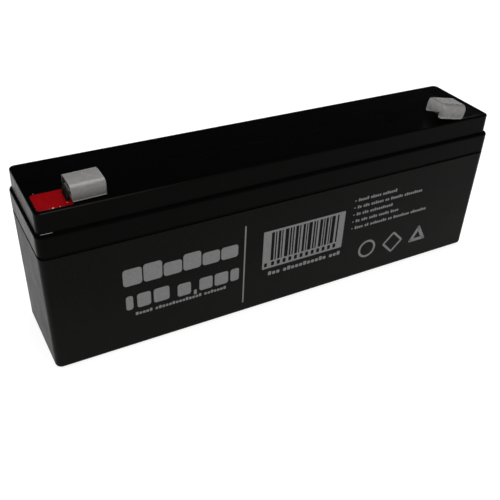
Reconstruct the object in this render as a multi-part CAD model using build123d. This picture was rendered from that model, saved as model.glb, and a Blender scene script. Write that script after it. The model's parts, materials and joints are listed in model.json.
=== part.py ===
"""Sealed lead-acid battery: six cells in a slim moulded case, with a blade terminal at each front corner.

The origin is at the middle of the underside. +X runs along the case from the positive end to the
negative end, +Y from the front face to the back, and +Z is up. Sizes are in millimetres.
"""
from build123d import *
from dataclasses import dataclass
from math import atan, degrees
import os

# Case outline
case_length = 178.0
case_width = 35.0
case_height = 60.0
corner_radius = 2.6
wall = 2.2
floor_thickness = 2.2

# Container: it narrows towards the foot, and its rim stands below a shadow groove
foot_inset = 0.36
foot_radius = 1.2
groove_height = 0.85
groove_depth = 0.5
tongue_height = 3.0
tongue_thickness = 0.85
joint_clearance = 0.1

# Cells
cell_count = 6
partition = 1.4
rest_rib_height = 1.3
rest_rib_width = 1.6
rest_rib_spread = 18.0

# Lid: a flange as wide as the container, and a raised block set in from it
flange_height = 7.6
shoulder_radius = 0.95
block_height = 7.25
block_end_inset = 0.8
block_side_inset = 1.17
block_corner_radius = 2.2
block_top_inset = 0.08
block_edge_radius = 0.46
roof = 2.2

# Valve well in the lid, with a nipple and a rubber cap for each cell, under a flush cover
valve_y = 5.6
well_depth = 6.6
well_floor = 1.6
well_margin = 2.0
well_corner_radius = 1.0
cover_thickness = 1.6
cover_ledge = 1.4
cover_corner_radius = 1.6
cover_clearance = 0.12
well_wall = 0.8
nipple_diameter = 5.0
nipple_bore = 2.6
nipple_height = 3.5
valve_wall = 0.8
valve_crown = 1.0
valve_edge = 0.4
valve_foot_gap = 0.1
gas_slot_width = 1.4
gas_slot_depth = 0.4

# Terminal pots, one in each front corner of the lid, filled with epoxy
pot_end_inset = 7.8
pot_side_inset = 7.9
pot_length = 10.5
pot_width = 9.6
pot_corner_radius = 0.8
pot_lip = 0.45
pot_depth = 6.6
pot_wall = 1.2
pot_floor = 1.6
epoxy_drop = 0.2

# Terminal tabs: a foot on the pole, a leg up the pot's inner wall and a blade over the lid
tab_thickness = 0.8
tab_width = 4.75
tab_bend_radius = 1.1
tab_wall_gap = 0.6
foot_overhang = 2.6
blade_length = 9.2
blade_tip_chamfer = 0.9
blade_hole_diameter = 1.5
blade_hole_setback = 3.0
positive_blade_height = 2.9
positive_lift = 1.5
negative_blade_height = 2.2
negative_lift = 11.7

# Terminal caps: soft sleeves pushed over the blades
cap_length = 10.8
cap_width = 9.8
cap_height = 5.7
cap_wall = 0.6
cap_top_radius = 2.0
cap_foot_radius = 1.1
cap_end_chamfer = 0.35
cap_mouth_radius = 1.5
positive_cap_gap = 0.1
positive_cap_shift = -0.3
negative_cap_gap = 1.8
negative_cap_shift = 1.3
cap_rib_width = 1.2
cap_rib_length = 6.5
cap_rib_spread = 2.6
cap_notch_height = 2.2
cap_notch_length = 3.4
cap_notch_margin = 2.2

# Plates and glass mats: the plates fill what the mats leave of a cell
positive_count = 4
positive_to_negative = 1.5
mat_thickness = 0.97
fold_chamfer = 0.5
plate_side_gap = 0.5
mat_side_gap = 0.1
mat_overhang = 0.9
stack_clearance = 0.3

# Cast straps, poles and the welds through the partitions
strap_gap = 2.6
strap_height = 3.4
strap_width = 7.0
strap_end_overlap = 0.8
lug_width = 5.6
lug_depth = 1.4
weld_diameter = 5.0
weld_cover = 1.3
weld_above_strap = 0.4
upright_thickness = 2.0
upright_margin = 0.7
pole_diameter = 5.0
pole_clearance = 0.15
pole_tip_diameter = 3.0
pole_tip_height = 1.7

# Places worked out from the sizes above
ledge_height = case_height - block_height
seat_height = ledge_height - flange_height
rim_height = seat_height - groove_height
inner_length = case_length - 2 * wall
inner_width = case_width - 2 * wall
cell_width = inner_width
cell_length = (inner_length - (cell_count - 1) * partition) / cell_count
cell_pitch = cell_length + partition
cell_centres = [(i - (cell_count - 1) / 2) * cell_pitch for i in range(cell_count)]
partition_centres = [(a + b) / 2 for a, b in zip(cell_centres, cell_centres[1:])]
block_length = case_length - 2 * block_end_inset
block_width = case_width - 2 * block_side_inset

valve_diameter = nipple_diameter + 2 * valve_wall
well_length = cell_centres[-1] - cell_centres[0] + valve_diameter + 2 * well_margin
well_width = valve_diameter + 2 * well_margin
well_bottom = case_height - well_depth
cover_bottom = case_height - cover_thickness

pot_x = case_length / 2 - pot_end_inset
pot_y = pot_side_inset - case_width / 2
pot_bottom = case_height - pot_depth
leg_x = pot_length / 2 - tab_wall_gap - tab_thickness / 2

weld_height = seat_height - weld_cover - weld_diameter / 2
strap_bottom = weld_height - weld_above_strap - strap_height / 2
strap_top = strap_bottom + strap_height
plate_top = strap_bottom - strap_gap
plate_foot = floor_thickness + rest_rib_height
negative_count = positive_count + 1
lead_room = cell_length - stack_clearance - 2 * positive_count * mat_thickness
negative_thickness = lead_room / (negative_count + positive_count * positive_to_negative)
positive_thickness = negative_thickness * positive_to_negative
plate_step = positive_thickness + negative_thickness + 2 * mat_thickness


@dataclass
class Terminal:
    """What differs between the two terminals: how the tab is bent and where its cap sits."""
    end: int
    blade_height: float
    lift: float
    cap_gap: float
    cap_shift: float

    @property
    def bend(self):
        """The point, about the pot's centre, where the leg's line meets the blade's."""
        return (leg_x, 0, case_height + self.blade_height)


positive = Terminal(-1, positive_blade_height, positive_lift, positive_cap_gap, positive_cap_shift)
negative = Terminal(1, negative_blade_height, negative_lift, negative_cap_gap, negative_cap_shift)


def rounded_block(length, width, height, radius, bottom, taper=0.0):
    """A block centred on the origin, with round upright corners, standing at the height given."""
    outline = Plane.XY.offset(bottom) * RectangleRounded(length, width, radius)
    return extrude(outline, height, taper=taper)


def corner(radius, inset):
    """The radius of a corner that runs inside another one at an even distance."""
    return max(radius - inset, 0.3)


def at_end(piece, end):
    """Put a piece made about a pot's centre in its place: -1 is the positive end, 1 the negative."""
    turn = 0 if end < 0 else 180
    return Location((end * pot_x, pot_y, 0), (0, 0, turn)) * piece


def strap_side(index, is_positive):
    """Which long side of cell number index carries this strap: the straps change sides in each cell."""
    front = (index % 2 == 0) == is_positive
    return pot_y if front else -pot_y


def container():
    """The open box: drafted walls, partitions, ribs under the plates and a tongue for the lid."""
    slope = degrees(atan(foot_inset / rim_height))
    rim = Plane((0, 0, rim_height), x_dir=(1, 0, 0), z_dir=(0, 0, -1))
    body = extrude(rim * RectangleRounded(case_length, case_width, corner_radius), rim_height, taper=slope)
    body = fillet(body.edges().group_by(Axis.Z)[0], foot_radius)

    seat_size = (case_length - 2 * groove_depth, case_width - 2 * groove_depth)
    body += rounded_block(*seat_size, groove_height, corner(corner_radius, groove_depth), rim_height)
    tongue_size = (inner_length + 2 * tongue_thickness, inner_width + 2 * tongue_thickness)
    tongue_corner = corner(corner_radius, wall - tongue_thickness)
    body += rounded_block(*tongue_size, tongue_height, tongue_corner, seat_height)
    body -= rounded_block(inner_length, inner_width, tongue_height, corner(corner_radius, wall), seat_height)

    cell_depth = seat_height - floor_thickness
    cell = Box(cell_length, cell_width, cell_depth)
    body -= [Pos(x, 0, floor_thickness + cell_depth / 2) * cell for x in cell_centres]
    rib = Box(inner_length, rest_rib_width, rest_rib_height)
    rib_z = floor_thickness + rest_rib_height / 2
    body += [Pos(0, side * rest_rib_spread / 2, rib_z) * rib for side in (-1, 1)]
    return body - [weld_at(i) for i in range(cell_count - 1)]


def weld_at(index):
    """The lead nugget that fills the hole in one partition and joins the straps on its two sides."""
    nugget = Rot(0, 90, 0) * Cylinder(weld_diameter / 2, partition)
    return Pos(partition_centres[index], strap_side(index, False), weld_height) * nugget


def lid_outside():
    """The lid's outer form: the flange with its round shoulder, and the raised block."""
    flange = rounded_block(case_length, case_width, ledge_height - seat_height, corner_radius, seat_height)
    flange = fillet(flange.edges().group_by(Axis.Z)[-1], shoulder_radius)
    slope = degrees(atan(block_top_inset / block_height))
    block = rounded_block(block_length, block_width, block_height, block_corner_radius, ledge_height, slope)
    block = fillet(block.edges().group_by(Axis.Z)[-1], block_edge_radius)
    return flange + block


def lid():
    """The lid moulding: hollow under its roof, with walls over the partitions, two pots and a well."""
    outside = lid_outside()
    flange_room = ledge_height - roof - seat_height
    room = rounded_block(inner_length, inner_width, flange_room, corner(corner_radius, wall), seat_height)
    room += rounded_block(block_length - 2 * wall, block_width - 2 * wall, case_height - roof - seat_height,
                          corner(block_corner_radius, wall), seat_height)
    slot_side = 2 * (tongue_thickness + joint_clearance)
    room += rounded_block(inner_length + slot_side, inner_width + slot_side, tongue_height + joint_clearance,
                          corner(corner_radius, wall - tongue_thickness), seat_height)
    body = outside - room

    rise = case_height - seat_height
    over_partition = Box(partition, inner_width - 2 * joint_clearance, rise)
    walls = [Pos(x, 0, seat_height + rise / 2) * over_partition for x in partition_centres]
    pot_size = (pot_length + 2 * pot_wall, pot_width + 2 * pot_wall, pot_depth + pot_floor)
    pot_block = Pos(0, 0, pot_bottom - pot_floor + pot_size[2] / 2) * Box(*pot_size)
    rim = 2 * (cover_ledge + well_wall)
    well_size = (well_length + rim, well_width + rim, well_depth + well_floor)
    well_block = Pos(0, valve_y, well_bottom - well_floor + well_size[2] / 2) * Box(*well_size)
    inside = walls + [at_end(pot_block, end) for end in (-1, 1)] + [well_block]
    for block in inside:
        body += block & outside

    pole_hole = Pos(0, 0, pot_bottom) * Cylinder(pole_diameter / 2 + pole_clearance, 3 * pot_floor)
    body -= [at_end(pot_room(0) + pole_hole, end) for end in (-1, 1)]

    well = rounded_block(well_length, well_width, well_depth, well_corner_radius, well_bottom)
    seat_size = (well_length + 2 * cover_ledge, well_width + 2 * cover_ledge)
    well += rounded_block(*seat_size, cover_thickness, cover_corner_radius, cover_bottom)
    body -= Pos(0, valve_y, 0) * well
    body += [Pos(x, valve_y, 0) * nipple() for x in cell_centres]
    bore = Pos(0, 0, well_bottom) * Cylinder(nipple_bore / 2, 4 * nipple_height)
    body -= [Pos(x, valve_y, 0) * bore for x in cell_centres]
    gas_slot = Box(cover_ledge + cover_clearance, gas_slot_width, gas_slot_depth)
    slot_x = well_length / 2 + cover_ledge / 2
    body -= [Pos(side * slot_x, valve_y, cover_bottom - gas_slot_depth / 2) * gas_slot for side in (-1, 1)]
    return body


def pot_room(drop):
    """The inside of a pot and its flared lip, about the pot's centre, up to drop below the lid's top."""
    room = rounded_block(pot_length, pot_width, pot_depth - pot_lip, pot_corner_radius, pot_bottom)
    return room + rounded_block(pot_length, pot_width, pot_lip - drop, pot_corner_radius, case_height - pot_lip, -45)


def nipple():
    """The tube that stands on the well's floor over one cell and carries that cell's rubber cap."""
    return Pos(0, 0, well_bottom + nipple_height / 2) * Cylinder(nipple_diameter / 2, nipple_height)


def vent_cover():
    """The flat strip that closes the valve well, flush with the lid's top."""
    length = well_length + 2 * (cover_ledge - cover_clearance)
    width = well_width + 2 * (cover_ledge - cover_clearance)
    strip = rounded_block(length, width, cover_thickness, cover_corner_radius, cover_bottom)
    return Pos(0, valve_y, 0) * strip


def valve_cap(x):
    """The rubber cap over one nipple. It lifts at its skirt to let gas out."""
    foot = well_bottom + valve_foot_gap
    height = nipple_height - valve_foot_gap + valve_crown
    cap = Pos(0, 0, foot + height / 2) * Cylinder(valve_diameter / 2, height)
    cap = chamfer(cap.edges().group_by(Axis.Z)[-1], valve_edge)
    return Pos(x, valve_y, 0) * (cap - nipple())


def tab(terminal):
    """One terminal tab about its pot's centre: foot, leg and blade, bent from one strip."""
    foot_z = pot_bottom + tab_thickness / 2
    blade_direction = Vector(1, 0, 0).rotate(Axis.Y, -terminal.lift)
    tip = Vector(terminal.bend) + blade_direction * blade_length
    heel = (-foot_overhang, 0, foot_z)
    path = FilletPolyline(heel, (leg_x, 0, foot_z), terminal.bend, tip, radius=tab_bend_radius)
    section = Plane(path @ 0, x_dir=(0, 1, 0), z_dir=path % 0) * Rectangle(tab_width, tab_thickness)
    strip = sweep(section, path)

    blade = Location(terminal.bend, (0, -terminal.lift, 0))
    cutter = Rectangle(3 * blade_tip_chamfer, 3 * tab_width)
    tip_outline = Rectangle(2 * blade_length, tab_width)
    tip_outline = chamfer(tip_outline.vertices(), blade_tip_chamfer)
    spare = Pos(blade_length, 0) * cutter - tip_outline
    strip -= blade * extrude(spare, tab_thickness, both=True)
    hole = Pos(blade_length - blade_hole_setback, 0, 0) * Cylinder(blade_hole_diameter / 2, 2 * tab_thickness)
    strip -= blade * hole
    return strip - Pos(0, 0, foot_z) * Cylinder(pole_tip_diameter / 2, 2 * tab_thickness)


def cap_section(inset):
    """The sleeve's cross-section, arched on top, looking along the blade."""
    outline = Rectangle(cap_width - 2 * inset, cap_height - 2 * inset)
    corners = outline.vertices().sort_by(Axis.Y)
    outline = fillet(corners[-2:], corner(cap_top_radius, inset))
    corners = outline.vertices().sort_by(Axis.Y)
    return fillet(corners[:2], corner(cap_foot_radius, inset))


def terminal_cap(terminal):
    """One sleeve about its pot's centre: open at the leg, closed past the blade, gripping it with ribs."""
    mouth = tab_thickness / 2 + terminal.cap_gap
    sleeve = extrude(Plane.YZ.offset(mouth) * cap_section(0), cap_length)
    sleeve = chamfer(sleeve.edges().group_by(Axis.X)[-1], cap_end_chamfer)
    sleeve -= extrude(Plane.YZ.offset(mouth) * cap_section(cap_wall), cap_length - cap_wall)
    rib_height = cap_height / 2 - cap_wall / 2 - tab_thickness / 2
    rib = Box(cap_rib_length, cap_rib_width, rib_height)
    rib_x = mouth + cap_length - cap_wall - cap_rib_length / 2
    rib_z = tab_thickness / 2 + rib_height / 2
    for up in (-1, 1):
        for side in (-1, 1):
            sleeve += Pos(rib_x, side * cap_rib_spread / 2, up * rib_z) * rib
    side_view = Plane.XZ * Pos(mouth + cap_length / 2, 0) * Rectangle(cap_length, cap_height)
    mouth_foot = side_view.vertices().sort_by(Axis.X)[:2].sort_by(Axis.Z)[0]
    sleeve &= extrude(fillet(mouth_foot, cap_mouth_radius), cap_width, both=True)
    near_y = cap_width / 2 - cap_notch_margin
    far_y = cap_wall - cap_width / 2
    foot_z = -cap_height / 2
    notch = Polygon((near_y, foot_z), (near_y, foot_z + cap_notch_height), (far_y, foot_z), align=None)
    notch_start = mouth + cap_length - cap_notch_length
    sleeve -= extrude(Plane.YZ.offset(notch_start) * notch, cap_notch_length)
    return Location(terminal.bend, (0, -terminal.lift, 0)) * Pos(0, terminal.cap_shift, 0) * sleeve


def epoxy(terminal):
    """The potting that fills a pot around the tab's leg and the pole's tip, about the pot's centre."""
    return pot_room(epoxy_drop) - tab(terminal) - pole_tip()


def pole_tip():
    """The thin end of the pole that stands in the tab's foot, about the pot's centre."""
    return Pos(0, 0, pot_bottom + pole_tip_height / 2) * Cylinder(pole_tip_diameter / 2, pole_tip_height)


def plate_places(cell_x, is_positive):
    """Where the plates of one kind stand along X in a cell."""
    count = positive_count if is_positive else negative_count
    return [cell_x + (i - (count - 1) / 2) * plate_step for i in range(count)]


def plate(x, side_y, is_positive):
    """One pasted grid with its lug. Positive plates stand on the fold of their mat."""
    thickness = positive_thickness if is_positive else negative_thickness
    foot = plate_foot + (mat_thickness if is_positive else 0)
    grid = Box(thickness, cell_width - 2 * plate_side_gap, plate_top - foot)
    lug_height = strap_gap + lug_depth
    lug = Box(thickness, lug_width, lug_height)
    return Pos(x, 0, (foot + plate_top) / 2) * grid + Pos(x, side_y, plate_top + lug_height / 2) * lug


def plates(index, is_positive):
    """All the plates of one kind in a cell."""
    side_y = strap_side(index, is_positive)
    return [plate(x, side_y, is_positive) for x in plate_places(cell_centres[index], is_positive)]


def mat(x):
    """One glass mat, folded under a positive plate and up both its faces."""
    width = cell_width - 2 * mat_side_gap
    height = plate_top + mat_overhang - plate_foot
    outside = Box(positive_thickness + 2 * mat_thickness, width, height)
    folds = outside.edges().filter_by(Axis.Y).group_by(Axis.Z)[0]
    outside = chamfer(folds, fold_chamfer)
    inside = Pos(0, 0, mat_thickness) * Box(positive_thickness, width, height)
    return Pos(x, 0, plate_foot + height / 2) * (outside - inside)


def strap(index, is_positive):
    """The cast bar on one group's lugs, with its upright at a partition or its pole under a pot."""
    side_y = strap_side(index, is_positive)
    places = plate_places(cell_centres[index], is_positive)
    thickness = positive_thickness if is_positive else negative_thickness
    left = places[0] - thickness / 2 - strap_end_overlap
    right = places[-1] + thickness / 2 + strap_end_overlap
    cell_left = cell_centres[index] - cell_length / 2
    cell_right = cell_centres[index] + cell_length / 2
    left = max(left, cell_left)
    right = min(right, cell_right)
    end = -1 if is_positive else 1
    is_last = index == (0 if is_positive else cell_count - 1)
    if not is_last:
        left = cell_left if is_positive else left
        right = right if is_positive else cell_right
    bar = Box(right - left, strap_width, strap_height)
    bar = Pos((left + right) / 2, side_y, (strap_bottom + strap_top) / 2) * bar
    if is_last:
        bar += pole(end, side_y)
    else:
        upright_height = weld_diameter + 2 * upright_margin
        upright = Box(upright_thickness, strap_width, upright_height)
        face = cell_left if is_positive else cell_right
        bar += Pos(face - end * upright_thickness / 2, side_y, weld_height) * upright
    return bar - [plate(x, side_y, is_positive) for x in places]


def pole(end, side_y):
    """The round lead pole from the end cell's strap up through the pot's floor."""
    shaft_height = pot_bottom - strap_top
    shaft = Pos(end * pot_x, side_y, strap_top + shaft_height / 2) * Cylinder(pole_diameter / 2, shaft_height)
    return shaft + Pos(end * pot_x, side_y, 0) * pole_tip()


def build():
    """Every piece of the battery, by name."""
    pieces = {
        "container": container(),
        "lid": lid(),
        "vent_cover": vent_cover(),
        "positive_tab": at_end(tab(positive), -1),
        "negative_tab": at_end(tab(negative), 1),
        "positive_epoxy": at_end(epoxy(positive), -1),
        "negative_epoxy": at_end(epoxy(negative), 1),
        "positive_terminal_cap": at_end(terminal_cap(positive), -1),
        "negative_terminal_cap": at_end(terminal_cap(negative), 1),
        "partition_welds": Compound([weld_at(i) for i in range(cell_count - 1)]),
    }
    for index, x in enumerate(cell_centres):
        number = index + 1
        pieces[f"valve_cap_{number}"] = valve_cap(x)
        pieces[f"positive_plates_{number}"] = Compound(plates(index, True))
        pieces[f"negative_plates_{number}"] = Compound(plates(index, False))
        pieces[f"glass_mats_{number}"] = Compound([mat(place) for place in plate_places(x, True)])
        pieces[f"positive_strap_{number}"] = strap(index, True)
        pieces[f"negative_strap_{number}"] = strap(index, False)
    return pieces


os.makedirs("parts", exist_ok=True)
for name, piece in build().items():
    export_step(piece, f"parts/{name}.step")
    print(name, round(piece.volume, 1))
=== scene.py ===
"""Looks of the sealed lead-acid battery: black moulded case, red and black pots, milky terminal caps.

Everything is in metres in the battery's own frame: the origin is at the middle of the underside,
+X runs from the positive end to the negative end, +Y from the front to the back, and +Z is up.
"""
import json
from math import atan, cos, pi, radians, sin

import bpy
from mathutils import Matrix, Vector


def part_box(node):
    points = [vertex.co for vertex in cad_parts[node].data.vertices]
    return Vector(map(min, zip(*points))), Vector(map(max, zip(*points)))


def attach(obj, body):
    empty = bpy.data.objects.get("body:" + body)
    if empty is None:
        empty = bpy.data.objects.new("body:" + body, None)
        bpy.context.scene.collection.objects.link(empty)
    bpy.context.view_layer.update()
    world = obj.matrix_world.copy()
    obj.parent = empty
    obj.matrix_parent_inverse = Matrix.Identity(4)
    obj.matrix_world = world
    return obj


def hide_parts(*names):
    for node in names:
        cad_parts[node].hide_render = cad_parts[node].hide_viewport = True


mm = 0.001

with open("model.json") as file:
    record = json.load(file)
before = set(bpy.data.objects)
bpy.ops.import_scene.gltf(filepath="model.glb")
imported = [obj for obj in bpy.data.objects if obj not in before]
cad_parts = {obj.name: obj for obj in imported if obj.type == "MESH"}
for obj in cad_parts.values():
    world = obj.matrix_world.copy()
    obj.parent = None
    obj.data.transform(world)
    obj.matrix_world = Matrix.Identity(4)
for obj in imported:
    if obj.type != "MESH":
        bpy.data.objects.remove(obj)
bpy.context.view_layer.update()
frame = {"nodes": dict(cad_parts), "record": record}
nodes = frame["nodes"]
bpy.ops.object.select_all(action="DESELECT")


# Levels of the case and the lid, which the marks and the print follow

case_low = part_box("container")[0]
lid_low, lid_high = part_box("lid")
groove_height = 0.85 * mm
foot_inset = 0.36 * mm
flange_height = 7.6 * mm
block_inset = 1.17 * mm
rim_height = lid_low.z - groove_height
ledge_height = lid_low.z + flange_height
block_front = lid_low.y + block_inset


# Camera, at the photograph's viewing angle

camera_place = Vector((-119.52, -197.29, 171.80)) * mm
camera_yaw = radians(31.098)
camera_pitch = radians(34.921)
camera_roll = radians(-3.382)
focal_pixels = 714.8
picture_pixels = 500
sensor_width = 36.0
camera_shift = Vector((-0.0300, 0.0028))
nearest_seen = 0.01
furthest_seen = 20


def add_camera():
    """The camera: yaw turns it from +Y towards +X, pitch tips it down, roll turns the picture."""
    forward = Vector((sin(camera_yaw) * cos(camera_pitch),
                      cos(camera_yaw) * cos(camera_pitch),
                      -sin(camera_pitch)))
    level = Vector((cos(camera_yaw), -sin(camera_yaw), 0))
    down = forward.cross(level)
    right = cos(camera_roll) * level + sin(camera_roll) * down
    up = sin(camera_roll) * level - cos(camera_roll) * down
    data = bpy.data.cameras.new("camera")
    data.sensor_width = sensor_width
    data.lens = focal_pixels * sensor_width / picture_pixels
    data.shift_x, data.shift_y = camera_shift
    data.clip_start = nearest_seen
    data.clip_end = furthest_seen
    camera = bpy.data.objects.new("camera", data)
    bpy.context.scene.collection.objects.link(camera)
    axes = Matrix((right, up, -forward)).transposed()
    camera.matrix_world = Matrix.Translation(camera_place) @ axes.to_4x4()
    bpy.context.scene.camera = camera


# Shader helper

noise_range = (0.3, 0.7)
bevel_samples = 6


class Finish:
    """The node graph of one material, built round a single Principled shader.

    The plain colour and roughness hold where no pattern is laid over them.
    """

    def __init__(self, name, color, roughness, **settings):
        self.material = bpy.data.materials.new(name)
        self.material.use_nodes = True
        tree = self.material.node_tree
        tree.nodes.clear()
        self.nodes = tree.nodes
        self.links = tree.links
        self.normal = None
        output = self.nodes.new("ShaderNodeOutputMaterial")
        self.shader = self.nodes.new("ShaderNodeBsdfPrincipled")
        self.links.new(self.shader.outputs["BSDF"], output.inputs["Surface"])
        self.place = self.nodes.new("ShaderNodeTexCoord").outputs["Object"]
        self.shader.inputs["Base Color"].default_value = (*color, 1)
        self.shader.inputs["Roughness"].default_value = roughness
        for socket, value in settings.items():
            self.shader.inputs[socket.replace("_", " ")].default_value = value

    def stretched(self, scale):
        """Object coordinates stretched along the axes, for streaks."""
        mapping = self.nodes.new("ShaderNodeMapping")
        mapping.inputs["Scale"].default_value = scale
        self.links.new(self.place, mapping.inputs["Vector"])
        return mapping.outputs["Vector"]

    def turned(self, middle, turn):
        """Coordinates from this middle, along the axes of a piece that is turned so."""
        mapping = self.nodes.new("ShaderNodeMapping")
        mapping.vector_type = "TEXTURE"
        mapping.inputs["Location"].default_value = middle
        mapping.inputs["Rotation"].default_value = turn
        self.links.new(self.place, mapping.inputs["Vector"])
        return mapping.outputs["Vector"]

    def coordinate(self, axis, place=None):
        """How far along X, Y or Z the shaded point lies."""
        node = self.nodes.new("ShaderNodeSeparateXYZ")
        self.links.new(place or self.place, node.inputs[0])
        return node.outputs[axis]

    def noise(self, grain, detail=3.0, rough=0.55, place=None):
        """Noise whose features are about as wide as grain, in metres."""
        node = self.nodes.new("ShaderNodeTexNoise")
        node.inputs["Scale"].default_value = 1 / grain
        node.inputs["Detail"].default_value = detail
        node.inputs["Roughness"].default_value = rough
        self.links.new(place or self.place, node.inputs["Vector"])
        return node.outputs["Fac"]

    def spread(self, value, span, onto):
        """The value's span, from its first end to its second, laid onto another range and clamped."""
        node = self.nodes.new("ShaderNodeMapRange")
        for socket, number in zip(node.inputs[1:5], (*span, *onto)):
            socket.default_value = number
        self.links.new(value, node.inputs["Value"])
        return node.outputs["Result"]

    def combine(self, operation, first, second=0.0):
        """Two values joined by a Math operation, or one changed by it."""
        node = self.nodes.new("ShaderNodeMath")
        node.operation = operation
        for socket, value in zip(node.inputs, (first, second)):
            if isinstance(value, (int, float)):
                socket.default_value = value
            else:
                self.links.new(value, socket)
        return node.outputs[0]

    def blend(self, factor, first, second):
        """A value that goes from first to second with the factor."""
        node = self.nodes.new("ShaderNodeMix")
        for socket, value in zip(("Factor", "A", "B"), (factor, first, second)):
            self.links.new(value, node.inputs[socket])
        return node.outputs["Result"]

    def colors(self, factor, first, second):
        """Base colour that goes from first to second with the factor."""
        node = self.nodes.new("ShaderNodeMix")
        node.data_type = "RGBA"
        self.links.new(factor, node.inputs["Factor"])
        node.inputs["A"].default_value = (*first, 1)
        node.inputs["B"].default_value = (*second, 1)
        self.links.new(node.outputs["Result"], self.shader.inputs["Base Color"])

    def roughness(self, value):
        """Roughness that follows a value."""
        self.links.new(value, self.shader.inputs["Roughness"])

    def soften(self, radius, along=None):
        """Round the look of sharp edges by this radius, or by a radius that follows a value."""
        node = self.nodes.new("ShaderNodeBevel")
        node.samples = bevel_samples
        node.inputs["Radius"].default_value = radius
        if along is not None:
            self.links.new(along, node.inputs["Radius"])
        self.normal = node.outputs["Normal"]
        self.links.new(self.normal, self.shader.inputs["Normal"])

    def bump(self, height, depth, strength=1.0):
        """Relief this deep, on top of any relief given before."""
        node = self.nodes.new("ShaderNodeBump")
        node.inputs["Strength"].default_value = strength
        node.inputs["Distance"].default_value = depth
        self.links.new(height, node.inputs["Height"])
        if self.normal is not None:
            self.links.new(self.normal, node.inputs["Normal"])
        self.normal = node.outputs["Normal"]
        self.links.new(self.normal, self.shader.inputs["Normal"])


def past(level, start, end):
    """The span from start to end, in millimetres past a level."""
    return level + start * mm, level + end * mm


# Studio: floor, round backdrop, ceiling and lamps

backdrop_radius = 2.4
backdrop_height = 0.3
backdrop_sides = 96
floor_drop = 0.02 * mm
paper_color = (0.8, 0.8, 0.8, 1)
seen_paper_color = (0.45, 0.45, 0.45, 1)
seen_paper_glow = 0.75
air_color = (0.35, 0.35, 0.36, 1)
ceiling_color = (0.02, 0.02, 0.021, 1)
pale_color = (1, 1, 1, 1)
lamp_target = Vector((0, 0, 30)) * mm


def pale_surface(name):
    """White paper: it keeps shadows, and looks white to the camera, in gloss and through clear things."""
    material = bpy.data.materials.new(name)
    material.use_nodes = True
    tree = material.node_tree
    tree.nodes.clear()
    output = tree.nodes.new("ShaderNodeOutputMaterial")
    path = tree.nodes.new("ShaderNodeLightPath")
    seen = path.outputs["Is Camera Ray"]
    for ray in ("Is Glossy Ray", "Is Transmission Ray"):
        either = tree.nodes.new("ShaderNodeMath")
        either.operation = "MAXIMUM"
        tree.links.new(seen, either.inputs[0])
        tree.links.new(path.outputs[ray], either.inputs[1])
        seen = either.outputs[0]
    paper = tree.nodes.new("ShaderNodeBsdfDiffuse")
    paper.inputs["Color"].default_value = paper_color
    seen_paper = tree.nodes.new("ShaderNodeBsdfDiffuse")
    seen_paper.inputs["Color"].default_value = seen_paper_color
    glow = tree.nodes.new("ShaderNodeEmission")
    glow.inputs["Strength"].default_value = seen_paper_glow
    white = tree.nodes.new("ShaderNodeAddShader")
    tree.links.new(seen_paper.outputs[0], white.inputs[0])
    tree.links.new(glow.outputs[0], white.inputs[1])
    mix = tree.nodes.new("ShaderNodeMixShader")
    tree.links.new(seen, mix.inputs["Fac"])
    tree.links.new(paper.outputs[0], mix.inputs[1])
    tree.links.new(white.outputs[0], mix.inputs[2])
    tree.links.new(mix.outputs[0], output.inputs["Surface"])
    return material


def add_stage():
    """The floor, and a low round wall far behind it for views from lower down."""
    paper = pale_surface("white_paper")
    bpy.ops.mesh.primitive_circle_add(vertices=backdrop_sides, radius=backdrop_radius, fill_type="NGON",
                                      location=(0, 0, -floor_drop))
    floor = bpy.context.object
    floor.name = "floor"
    bpy.ops.mesh.primitive_cylinder_add(vertices=backdrop_sides, radius=backdrop_radius,
                                        depth=backdrop_height, end_fill_type="NOTHING",
                                        location=(0, 0, backdrop_height / 2 - floor_drop))
    backdrop = bpy.context.object
    backdrop.name = "backdrop"
    for piece in (floor, backdrop):
        piece.data.materials.append(paper)
    bpy.ops.object.select_all(action="DESELECT")


def add_world():
    """Even soft light, with a ceiling that the camera sees as pale and gloss sees as dark."""
    world = bpy.data.worlds.new("world")
    bpy.context.scene.world = world
    world.use_nodes = True
    tree = world.node_tree
    tree.nodes.clear()
    output = tree.nodes.new("ShaderNodeOutputWorld")
    path = tree.nodes.new("ShaderNodeLightPath")
    air = tree.nodes.new("ShaderNodeBackground")
    air.inputs["Color"].default_value = air_color
    light = air.outputs[0]
    for ray, color in (("Is Glossy Ray", ceiling_color), ("Is Camera Ray", pale_color)):
        shown = tree.nodes.new("ShaderNodeBackground")
        shown.inputs["Color"].default_value = color
        mix = tree.nodes.new("ShaderNodeMixShader")
        tree.links.new(path.outputs[ray], mix.inputs["Fac"])
        tree.links.new(light, mix.inputs[1])
        tree.links.new(shown.outputs[0], mix.inputs[2])
        light = mix.outputs[0]
    tree.links.new(light, output.inputs["Surface"])


def add_lamp(name, place, width, height, power):
    """A softbox that faces the middle of the battery."""
    data = bpy.data.lights.new(name, "AREA")
    data.shape = "RECTANGLE"
    data.size = width
    data.size_y = height
    data.energy = power
    lamp = bpy.data.objects.new(name, data)
    bpy.context.scene.collection.objects.link(lamp)
    lamp.location = place
    aim = lamp_target - Vector(place)
    lamp.rotation_euler = aim.to_track_quat("-Z", "Y").to_euler()


add_camera()
add_stage()
add_world()
add_lamp("front_softbox", place=(-0.45, -0.95, 0.75), width=0.7, height=0.5, power=4.0)
add_lamp("top_softbox", place=(0.1, -0.05, 1.1), width=0.9, height=0.5, power=5.0)
add_lamp("back_softbox", place=(-0.7, 0.8, 0.9), width=0.6, height=0.4, power=2.5)
bpy.context.scene.view_settings.view_transform = "Standard"


# Materials

plastic_tint = (1, 0.99, 0.93, 1)


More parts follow.
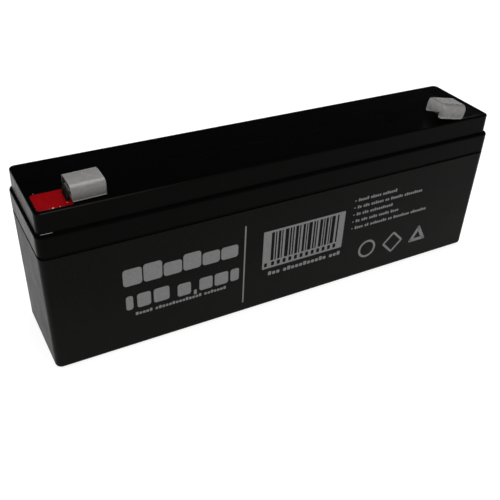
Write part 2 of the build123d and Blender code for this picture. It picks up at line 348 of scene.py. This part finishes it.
def case_finish():
    """Black case plastic with a fine spark-eroded texture and specks, a little paler towards the foot."""
    case_black = (0.0013, 0.0013, 0.0012)
    greyish_black = (0.0042, 0.0041, 0.0038)
    paling_top = 32 * mm
    paling_full = 8 * mm
    finish = Finish("case_plastic", (0.0019, 0.0019, 0.0018), 0.4, Specular_IOR_Level=0.049,
                    Specular_Tint=plastic_tint)
    finish.soften(0.25 * mm)
    cloud = finish.spread(finish.noise(14 * mm, detail=4), noise_range, (0, 0.25))
    # The colour grows paler towards the foot of the case.
    paler_low = finish.spread(finish.coordinate("Z"), (paling_top, paling_full), (0, 0.75))
    specks = finish.spread(finish.noise(0.8 * mm, detail=2), (0.35, 0.65), (-0.12, 0.5))
    tone = finish.combine("ADD", finish.combine("ADD", cloud, paler_low), specks)
    finish.colors(tone, case_black, greyish_black)
    scuff = finish.noise(5 * mm, detail=5, rough=0.65, place=finish.stretched((0.25, 1, 1)))
    finish.roughness(finish.spread(scuff, (0.3, 0.75), (0.36, 0.46)))
    finish.bump(finish.noise(0.35 * mm, detail=2), depth=0.02 * mm, strength=0.6)
    return finish.material


def lid_finish():
    """Black lid plastic, smoother than the case. Its front top edge carries a painted highlight,
    strongest at the left end, and the foot of its flange and the ledge above the flange are dull."""
    lid_black = (0.0009, 0.0009, 0.0009)
    # Colour of the painted highlight on the front top edge.
    edge_highlight_brown = (0.036, 0.032, 0.027)
    crisp_edge = 0.04 * mm
    soft_edge = 0.5 * mm
    dullness = 0.9
    front_half = (-7 * mm, -5 * mm)
    finish = Finish("lid_plastic", (0.001, 0.001, 0.001), 0.28, Specular_IOR_Level=0.031,
                    Specular_Tint=plastic_tint)
    height = finish.coordinate("Z")
    front_edges = finish.spread(finish.coordinate("Y"), front_half, (soft_edge, crisp_edge))
    above_joint = finish.spread(height, past(lid_low.z, 0.35, 1.35), (crisp_edge, soft_edge))
    finish.soften(soft_edge, along=finish.combine("MINIMUM", front_edges, above_joint))

    cloud = finish.spread(finish.noise(18 * mm, detail=4), noise_range, (0, 0.01))
    # Painted highlight along the front top edge, strongest at the left end.
    in_front = finish.spread(finish.coordinate("Y"), past(block_front, 0.13, 0.28), (1, 0))
    on_edge = finish.spread(height, past(lid_high.z, -0.38, -0.25), (0, 1))
    near_end = finish.spread(finish.coordinate("X"), past(lid_low.x, 1, 51), (1, 0.1))
    painted_edge_highlight = finish.combine("MULTIPLY", finish.combine("MULTIPLY", in_front, on_edge), near_end)
    finish.colors(finish.combine("ADD", cloud, painted_edge_highlight), lid_black, edge_highlight_brown)

    scuff = finish.noise(4 * mm, detail=5, rough=0.65, place=finish.stretched((0.3, 1, 1)))
    at_joint = finish.spread(height, past(lid_low.z, 0.25, 0.35), (dullness, 0))
    from_ledge = finish.spread(height, past(ledge_height, -0.65, -0.55), (0, dullness))
    above_ledge = finish.spread(height, past(ledge_height, 0.25, 0.35), (dullness, 0))
    at_ledge = finish.combine("MINIMUM", from_ledge, above_ledge)
    dull = finish.combine("MAXIMUM", at_joint, at_ledge)
    scuffed = finish.spread(scuff, (0.3, 0.75), (0.26, 0.36))
    finish.roughness(finish.combine("MAXIMUM", scuffed, dull))
    finish.bump(finish.noise(0.5 * mm, detail=2), depth=0.012 * mm, strength=0.5)
    return finish.material


def resin_finish(name, light, dark, gloss=0.15):
    """Cast resin: glossy, with an uneven skin."""
    finish = Finish(name, light, 0.15, Specular_IOR_Level=gloss)
    finish.colors(finish.spread(finish.noise(2.2 * mm, detail=4), noise_range, (0, 1)), light, dark)
    finish.roughness(finish.spread(finish.noise(1.1 * mm, detail=4), (0.35, 0.7), (0.1, 0.2)))
    finish.bump(finish.noise(1.4 * mm, detail=4, rough=0.6), depth=0.12 * mm, strength=0.7)
    return finish.material


def sleeve_finish(name, node, lift, closed_end, back, front, low, full, edge):
    """Soft milky plastic of one cap, which lets some light through. Light and shade are painted into its
    colour: painted shade low down and inside, and painted light towards the front of its crown, on its
    closed end face and at its cut edge.

    The shading follows the cap's own axes, from its middle, with the cap lifted by this angle.
    closed_end is 1 or -1, for the end at the cap's own +X or -X. back and front are the tones of painted
    light at the two sides of its crown, and low the tone of painted shade near its foot, all as parts of
    full. edge is how much paler the painted light makes the cut edge.
    """
    darkest = (0.02, 0.018, 0.014)
    palest = (0.5, 0.495, 0.48)
    shoulder_tone = 0.95
    # Tones of painted light and shade: the shoulder, the inside and the closed end face.
    inside_shade = 0.1
    end_face_light = 1.3
    dark_streak = 0.9
    pale_streak = 1.07
    crown_across = (-4.2 * mm, 4.5 * mm)
    side_rises = (-1.4 * mm, 2.7 * mm)
    shoulder = (1.9 * mm, 2.7 * mm)
    cut_line = (-2.2 * mm, -1.9 * mm)
    arch_centres = (2.9 * mm, 0.85 * mm)
    end_centre = 3.4 * mm
    wall = (1.45 * mm, 1.65 * mm)
    end_face = (1.8 * mm, 1.95 * mm)
    cap_low, cap_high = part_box(node)
    finish = Finish(name, (0.25, 0.25, 0.245), 0.26, Specular_IOR_Level=0.42, Subsurface_Weight=0.4,
                    Subsurface_Radius=(1.0, 0.95, 0.85), Subsurface_Scale=0.8 * mm)
    finish.soften(0.2 * mm)
    sleeve = finish.turned((cap_low + cap_high) / 2, (0, lift, 0))
    along, across, up = (finish.coordinate(axis, sleeve) for axis in "XYZ")

    # Painted light across the crown, paler towards the front, and painted shade lower down the sides.
    crown_light = finish.spread(across, crown_across, (front, back))
    side_shade = finish.spread(up, side_rises, (low, shoulder_tone))
    tone = finish.blend(finish.spread(up, shoulder, (0, 1)), side_shade, crown_light)
    streaks = finish.noise(1.6 * mm, detail=4, place=finish.stretched((0.12, 1, 1)))
    streak_tone = finish.spread(streaks, noise_range, (dark_streak * full, pale_streak * full))
    tone = finish.combine("MULTIPLY", tone, streak_tone)

    # Painted shade inside the cap, and painted light on its closed end face.
    squares = []
    for distance, arch_centre in zip((across, up), arch_centres):
        reach = finish.combine("SUBTRACT", finish.combine("ABSOLUTE", distance), arch_centre)
        squares.append(finish.combine("POWER", finish.combine("MAXIMUM", reach, 0), 2))
    outwards = finish.combine("SQRT", finish.combine("ADD", *squares))
    endways = finish.combine("SUBTRACT", finish.combine("MULTIPLY", along, closed_end), end_centre)
    inside_shading = finish.spread(finish.combine("MAXIMUM", outwards, endways), wall, (inside_shade, 1))
    end_face_lighting = finish.spread(endways, end_face, (1, end_face_light))
    tone = finish.combine("MULTIPLY", finish.combine("MULTIPLY", tone, inside_shading), end_face_lighting)
    # Painted light along the cut edge at the foot.
    cut_edge_light = finish.spread(up, cut_line, (edge, 0))
    finish.colors(finish.combine("ADD", tone, cut_edge_light), darkest, palest)

    finish.roughness(finish.spread(finish.noise(3 * mm), noise_range, (0.22, 0.3)))
    ripples = finish.noise(1.2 * mm, detail=2, rough=0.5, place=finish.stretched((0.15, 1, 1)))
    finish.bump(ripples, depth=0.012 * mm, strength=0.5)
    return finish.material


def lead_finish(name, light, dark, roughness, grain, metallic=1.0):
    """Lead, or the paste in its grids, with grain and an uneven sheen."""
    smoother = 0.08
    rougher = 0.12
    finish = Finish(name, light, roughness, Metallic=metallic)
    grainy = finish.noise(grain, detail=4, rough=0.6)
    finish.colors(finish.spread(grainy, noise_range, (0, 1)), light, dark)
    finish.roughness(finish.spread(grainy, noise_range, (roughness - smoother, roughness + rougher)))
    finish.bump(grainy, depth=0.02 * mm, strength=0.5)
    return finish.material


def tin_finish():
    """Dull tin plating, bright on the blades under their caps. Painted shade, near black, darkens the
    legs where they leave the resin.
    """
    leg_shade_black = (0.002, 0.002, 0.001)
    bright_tin = (0.4, 0.39, 0.35)
    leg_starts = (76.2 * mm, 76.6 * mm)
    finish = Finish("tinned_metal", (0.3, 0.29, 0.25), 0.5, Metallic=1.0,
                    Specular_Tint=(0.4, 0.4, 0.36, 1))
    grain = finish.noise(0.8 * mm, detail=4, rough=0.6, place=finish.stretched((0.15, 1, 1)))
    # Painted shade: near black on the legs where they leave the resin.
    leg_shade = finish.spread(finish.combine("ABSOLUTE", finish.coordinate("X")), leg_starts, (0, 1))
    bright = finish.spread(grain, noise_range, (1, 0.7))
    shaded_tones = finish.spread(grain, noise_range, (0.1, 0.05))
    finish.colors(finish.blend(leg_shade, bright, shaded_tones), leg_shade_black, bright_tin)
    finish.roughness(finish.spread(grain, noise_range, (0.45, 0.6)))
    finish.bump(grain, depth=0.02 * mm, strength=0.5)
    return finish.material


def fibre_finish():
    """White glass-fibre felt."""
    finish = Finish("glass_mat", (0.8, 0.8, 0.78), 0.9, Sheen_Weight=0.3)
    fibres = finish.noise(0.3 * mm, detail=5, rough=0.7, place=finish.stretched((1, 0.3, 1)))
    finish.colors(finish.spread(fibres, noise_range, (0, 1)), (0.7, 0.7, 0.68), (0.86, 0.86, 0.84))
    finish.bump(fibres, depth=0.08 * mm)
    return finish.material


def rubber_finish():
    """Black valve rubber."""
    finish = Finish("valve_rubber", (0.02, 0.02, 0.02), 0.6)
    grain = finish.noise(0.6 * mm)
    finish.roughness(finish.spread(grain, noise_range, (0.5, 0.7)))
    finish.bump(grain, depth=0.02 * mm)
    return finish.material


def ink_finish(name, light, dark, gloss):
    """Printing ink, a little worn, with the case's texture under it."""
    finish = Finish(name, light, 0.5, Specular_IOR_Level=gloss)
    wear = finish.noise(0.8 * mm, detail=5, rough=0.7)
    finish.colors(finish.spread(wear, (0.35, 0.75), (0, 1)), light, dark)
    finish.bump(finish.noise(0.35 * mm, detail=2), depth=0.02 * mm, strength=0.5)
    return finish.material


red_resin = resin_finish("red_resin", light=(0.28, 0.002, 0.004), dark=(0.22, 0.0015, 0.003))
black_resin = resin_finish("black_resin", light=(0.003, 0.003, 0.003), dark=(0.005, 0.005, 0.005),
                           gloss=0.08)
# Pale resin whose colour is a painted highlight, for the drops on the pot's lips and the sliver on the
# ledge.
glint_resin = resin_finish("glint_resin", light=(0.62, 0.58, 0.57), dark=(0.5, 0.46, 0.45))
# Each cap gets its own tones of painted light and shade.
positive_sleeve = sleeve_finish("positive_sleeve", "positive_terminal_cap",
                                lift=radians(-1.5), closed_end=1,
                                back=0.7, front=0.95, low=0.14, full=0.58, edge=0.9)
negative_sleeve = sleeve_finish("negative_sleeve", "negative_terminal_cap",
                                lift=radians(11.7), closed_end=-1,
                                back=0.42, front=0.5, low=0.5, full=0.6, edge=0.3)
grey_ink = ink_finish("grey_ink", light=(0.212, 0.212, 0.209), dark=(0.162, 0.162, 0.159), gloss=0.3)
black_ink = ink_finish("black_ink", light=(0.004, 0.004, 0.004), dark=(0.003, 0.003, 0.003),
                       gloss=0.045)

finish_by_slot = {
    "case_plastic": case_finish(),
    "lid_plastic": lid_finish(),
    "tinned_brass": tin_finish(),
    "red_epoxy": red_resin,
    "black_epoxy": black_resin,
    "sleeve_plastic": positive_sleeve,
    "lead": lead_finish("cast_lead", light=(0.3, 0.31, 0.33), dark=(0.2, 0.21, 0.23),
                        roughness=0.5, grain=1.2 * mm),
    "valve_rubber": rubber_finish(),
    "positive_plate": lead_finish("brown_paste", light=(0.12, 0.06, 0.04), dark=(0.08, 0.035, 0.02),
                                  roughness=0.75, grain=0.7 * mm, metallic=0),
    "negative_plate": lead_finish("grey_paste", light=(0.3, 0.31, 0.32), dark=(0.22, 0.23, 0.24),
                                  roughness=0.65, grain=0.7 * mm, metallic=0),
    "glass_mat": fibre_finish(),
}


def dress_nodes():
    """Give each piece of the frame the material of its slot in the record. The right cap has a sleeve
    material of its own, because each of the two follows its own cap's axes and has its own painted
    light and shade."""
    for part in frame["record"]["subparts"]:
        piece = nodes[part["node"]]
        piece.data.materials.clear()
        piece.data.materials.append(finish_by_slot[part["material_slot"]])
    nodes["negative_terminal_cap"].data.materials[0] = negative_sleeve


dress_nodes()


# Mesh helpers

ripple_depth_steps = 3


def finish_mesh(piece, name, material):
    """Name a modelled piece, give it its material and leave nothing selected."""
    piece.name = name
    piece.data.name = name
    piece.data.materials.clear()
    piece.data.materials.append(material)
    bpy.ops.object.select_all(action="DESELECT")
    return piece


def join(pieces, name, material):
    """Make one piece of several."""
    for piece in pieces:
        piece.select_set(True)
    bpy.context.view_layer.objects.active = pieces[0]
    bpy.ops.object.join()
    return finish_mesh(pieces[0], name, material)


def copied(model):
    """A copy of a piece with its own mesh, selected alone."""
    bpy.ops.object.select_all(action="DESELECT")
    piece = model.copy()
    piece.data = model.data.copy()
    bpy.context.collection.objects.link(piece)
    piece.select_set(True)
    bpy.context.view_layer.objects.active = piece
    return piece


def apply_modifier(piece, kind, **settings):
    """Add a modifier with these settings and make its result the piece's own mesh."""
    modifier = piece.modifiers.new(kind.lower(), kind)
    for setting, value in settings.items():
        setattr(modifier, setting, value)
    bpy.context.view_layer.objects.active = piece
    bpy.ops.object.modifier_apply(modifier=modifier.name)


def ripple(piece, above, grain, depth):
    """Roughen the part of a piece that lies above a height."""
    group = piece.vertex_groups.new(name="skin")
    group.add([point.index for point in piece.data.vertices if point.co.z > above], 1.0, "REPLACE")
    clouds = bpy.data.textures.new("clouds", "CLOUDS")
    clouds.noise_scale = grain
    clouds.noise_depth = ripple_depth_steps
    apply_modifier(piece, "DISPLACE", texture=clouds, texture_coords="LOCAL", direction="Z",
                   strength=depth, mid_level=0.5, vertex_group="skin")


# Resin in the terminal pots: it fills the flared lips and its skin climbs their edges

lip_flare = 0.25 * mm
resin_climb = 0.12 * mm
resin_corner = 0.8 * mm
resin_corner_steps = 6
resin_grain = 0.14 * mm
resin_wave = 1.5 * mm
resin_ripple = 0.16 * mm
skin_steps = ((0.25 * mm, -0.1 * mm), (0.3 * mm, -0.06 * mm), (0.4 * mm, -0.03 * mm))


def raise_top(height, size, growth):
    """Pull the selected top face up by height and widen it by growth on every side."""
    bpy.ops.mesh.extrude_region_move(TRANSFORM_OT_translate={"value": (0, 0, height)})
    bpy.ops.transform.resize(value=(1 + 2 * growth / size.x, 1 + 2 * growth / size.y, 1))
    return size + Vector((2 * growth, 2 * growth, 0))


def add_resin(node, name, material):
    """The potting of one pot, in place of the plain solid."""
    low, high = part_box(node)
    size = high - low - Vector((2 * lip_flare, 2 * lip_flare, 0))
    middle_x = (low.x + high.x) / 2
    middle_y = (low.y + high.y) / 2
    bpy.ops.mesh.primitive_plane_add(size=1, location=(middle_x, middle_y, low.z))
    piece = bpy.context.object
    bpy.ops.object.mode_set(mode="EDIT")
    bpy.ops.transform.resize(value=(size.x, size.y, 1))
    bpy.ops.mesh.bevel(offset=resin_corner, segments=resin_corner_steps, affect="VERTICES")
    size = raise_top(size.z - lip_flare, size, 0)
    size = raise_top(lip_flare, size, lip_flare)
    raise_top(resin_climb, size, resin_climb)
    for step, fall in skin_steps:
        bpy.ops.mesh.inset(thickness=step)
        bpy.ops.transform.translate(value=(0, 0, fall))
    bpy.ops.mesh.select_all(action="SELECT")
    bpy.ops.mesh.normals_make_consistent(inside=False)
    bpy.ops.object.mode_set(mode="OBJECT")
    bpy.ops.object.transform_apply(location=True, rotation=True, scale=True)
    apply_modifier(piece, "REMESH", mode="VOXEL", voxel_size=resin_grain)
    ripple(piece, high.z - lip_flare, resin_wave, resin_ripple)
    piece.select_set(True)
    bpy.ops.object.shade_smooth()
    finish_mesh(piece, name, material)
    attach(piece, "root")
    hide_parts(node)


add_resin("positive_epoxy", "positive_resin", red_resin)
add_resin("negative_epoxy", "negative_resin", black_resin)


# Small drops on the red pot's lips, and a sliver on the flange at the foot of the block, both pale as
# painted glints

lip_height = 59.95
drop_segments = 20
drop_rings = 12
drop_grain = 0.4 * mm
drop_ripple = 0.1 * mm
drop_shapes = (
    ((-82.1, -14.6, lip_height), (0.7, 0.35, 0.3)),
    ((-80.0, -14.5, lip_height), (0.4, 0.2, 0.2)),
    ((-77.5, -13.1, lip_height), (0.25, 0.35, 0.2)),
    ((-85.3, -4.3, lip_height), (0.4, 0.2, 0.2)),
)
ledge_glint_place = (-85.0, -16.25, 52.93)
ledge_glint_size = (4.4, 0.22, 0.2)


def drop(place, size):
    """One small flattened drop with an uneven skin, its place and size given in millimetres."""
    bpy.ops.mesh.primitive_uv_sphere_add(segments=drop_segments, ring_count=drop_rings, radius=0.5,
                                         location=Vector(place) * mm)
    piece = bpy.context.object
    bpy.ops.object.mode_set(mode="EDIT")
    bpy.ops.transform.resize(value=Vector(size) * mm)
    bpy.ops.object.mode_set(mode="OBJECT")
    bpy.ops.object.transform_apply(location=True, rotation=True, scale=True)
    ripple(piece, (place[2] - size[2]) * mm, drop_grain, drop_ripple)
    piece.select_set(True)
    bpy.ops.object.shade_smooth()
    bpy.ops.object.select_all(action="DESELECT")
    return piece


# Pale drops and a pale sliver that stand for glints: painted highlights.
glint_drops = join([drop(place, size) for place, size in drop_shapes], "glint_drops", glint_resin)
ledge_glint = finish_mesh(drop(ledge_glint_place, ledge_glint_size), "ledge_glint", glint_resin)
for trim in (glint_drops, ledge_glint):
    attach(trim, "root")


# Print on the front face: plain fields and simple shapes, in millimetres from its lower left corner

ink_thickness = 0.03 * mm
ink_sunk = 0.02 * mm
stroke_lift = 0.02 * mm
field_corner_steps = 3
mark_corner_steps = 4
letter_width = 0.78
letter_corner = 0.2
word_gap = 0.7
tall_letter = 1.3
tall_every = 4
tall_stride = 3


def onto_front(piece, x, z, lift=0.0):
    """Stand a flat shape up on the front face, which leans in towards its foot."""
    lean = atan(foot_inset / rim_height)
    y = case_low.y + foot_inset * (rim_height - z * mm) / rim_height
    piece.rotation_euler = (pi / 2 + lean, 0, 0)
    piece.location = (case_low.x + x * mm, y + ink_sunk - lift, z * mm)
    bpy.ops.object.transform_apply(location=True, rotation=True, scale=True)
    return piece


def thicken():
    """Pull the flat shape being edited up to the ink's thickness and leave edit mode."""
    bpy.ops.mesh.select_all(action="SELECT")
    bpy.ops.mesh.extrude_region_move(TRANSFORM_OT_translate={"value": (0, 0, ink_thickness + ink_sunk)})
    bpy.ops.mesh.select_all(action="SELECT")
    bpy.ops.mesh.normals_make_consistent(inside=False)
    bpy.ops.object.mode_set(mode="OBJECT")


def field(width, height, radius):
    """A field of ink with round corners, lying flat about the origin."""
    bpy.ops.mesh.primitive_plane_add(size=1)
    piece = bpy.context.object
    bpy.ops.object.mode_set(mode="EDIT")
    bpy.ops.transform.resize(value=(width * mm, height * mm, 1))
    bpy.ops.mesh.bevel(offset=radius * mm, segments=field_corner_steps, affect="VERTICES")
    thicken()
    return piece


def patch(left, right, bottom, top, radius, lift=0.0):
    """A field of ink between these edges."""
    piece = field(right - left, top - bottom, radius)
    return onto_front(piece, (left + right) / 2, (bottom + top) / 2, lift)


def outline_mark(sides, radius, line, turn, x, z, corner=0.0):
    """A ring or a regular outline with this many sides, of an even line width."""
    bpy.ops.mesh.primitive_circle_add(vertices=sides, radius=radius * mm, fill_type="NGON",
                                      rotation=(0, 0, turn))
    piece = bpy.context.object
    bpy.ops.object.mode_set(mode="EDIT")
    if corner:
        bpy.ops.mesh.bevel(offset=corner * mm, segments=mark_corner_steps, affect="VERTICES")
    bpy.ops.mesh.inset(thickness=line * mm)
    bpy.ops.mesh.delete(type="FACE")
    thicken()
    return onto_front(piece, x, z)


def small_print(left, words, bottom, height, pitch):
    """A line of tiny blocks, as a line of small print looks from a step away.

    words gives how many blocks each group has. Each block is a copy of a low or a tall model, and the
    models go when their meshes are removed.
    """
    width = letter_width * pitch
    tall_height = tall_letter * height
    low_model = field(width, height, letter_corner * pitch)
    tall_model = field(width, tall_height, letter_corner * pitch)
    made = []
    for number, word in enumerate(words):
        for letter in range(word):
            is_tall = (number + tall_stride * letter) % tall_every == 0
            piece = copied(tall_model if is_tall else low_model)
            middle = bottom + (tall_height if is_tall else height) / 2
            made.append(onto_front(piece, left + width / 2, middle))
            left += pitch
        left += word_gap * pitch
    for model in (low_model, tall_model):
        bpy.data.meshes.remove(model.data)
    return made


def block_rows():
    """Two rows of round-cornered blocks, the second with a small one low between its groups, and a line
    of small print under them."""
    first_left = 25.0
    block_pitch = 7.1
    block_width = 6.6
    block_tops = (33.2, 33.6, 31.8, 33.2, 31.6, 31.6)
    tall_blocks = ((25.5, 28.0), (29.4, 34.3), (35.3, 41.0))
    low_blocks = ((44.0, 49.0), (52.2, 57.3), (58.1, 63.4), (64.3, 67.7))
    fields = []
    for cell, top in enumerate(block_tops):
        left = first_left + cell * block_pitch
        fields.append(patch(left, left + block_width, bottom=26.4, top=top, radius=1.1))
    for left, right in tall_blocks:
        fields.append(patch(left, right, bottom=16.4, top=22.2, radius=0.9))
    for left, right in low_blocks:
        fields.append(patch(left, right, bottom=15.9, top=21.2, radius=0.9))
    fields.append(patch(50.1, 51.2, bottom=14.9, top=17.0, radius=0.4))
    return fields + small_print(28.6, (5, 14, 7), bottom=13.4, height=1.0, pitch=1.25)


def rule_and_panel():
    """An upright rule, and the panel with a line of small print under it."""
    rule = patch(69.5, 70.05, bottom=4.4, top=38.2, radius=0.2)
    panel = patch(77.2, 112.1, bottom=17.0, top=33.4, radius=0.3)
    return [rule, panel] + small_print(79.9, (3, 11, 3), bottom=13.6, height=1.35, pitch=1.75)


def text_lines():
    """Lines of small print, each after a small bullet."""
    lines = ((5, 5, 7), (2, 3, 6, 2, 6, 9), (2, 3, 11), (2, 3, 4, 5, 4), (4, 2, 8, 2, 8, 8))
    first_bottom = 36.1
    line_spacing = 3.1
    bullet_foot = 0.35
    bullet_head = 0.75
    fields = []
    for number, words in enumerate(lines):
        bottom = first_bottom - line_spacing * number
        fields.append(patch(115.8, 116.5, bottom + bullet_foot, bottom + bullet_head, radius=0.1))
        fields += small_print(117.4, words, bottom, height=1.0, pitch=0.99)
    return fields


def marks():
    """A ring, a square on its corner and a triangle."""
    return [outline_mark(sides=48, radius=4.1, line=0.95, turn=0, x=125.0, z=12.4),
            outline_mark(sides=4, radius=5.2, line=0.9, turn=pi / 4, x=137.8, z=11.9, corner=0.9),
            outline_mark(sides=3, radius=5.2, line=1.5, turn=pi / 2, x=150.8, z=11.5, corner=0.9)]


def panel_strokes():
    """Upright strokes of uneven width on the panel, with a row of small blocks under them."""
    stroke_count = 20
    widths = (1.2, 0.5, 1.0, 0.45, 1.5, 0.7, 0.55)
    gaps = (0.5, 0.65, 0.45, 0.95, 0.5)
    strokes = []
    left = 80.5
    for number in range(stroke_count):
        width = widths[number % len(widths)]
        strokes.append(patch(left, left + width, bottom=20.3, top=32.5, radius=0.05, lift=stroke_lift))
        left += width + gaps[number % len(gaps)]

    block_count = 12
    block_pitch = 2.45
    block_width = 1.3
    blocks = [(78.0, 79.2)]
    for number in range(block_count):
        left = 80.9 + number * block_pitch
        blocks.append((left, left + block_width))
    for left, right in blocks:
        strokes.append(patch(left, right, bottom=17.8, top=19.6, radius=0.4, lift=stroke_lift))
    return strokes


def add_print():
    """Grey print on the front face, and dark strokes on its panel."""
    grey = join(block_rows() + rule_and_panel() + text_lines() + marks(), "front_print", grey_ink)
    black = join(panel_strokes(), "panel_strokes", black_ink)
    for piece in (grey, black):
        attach(piece, "root")


add_print()
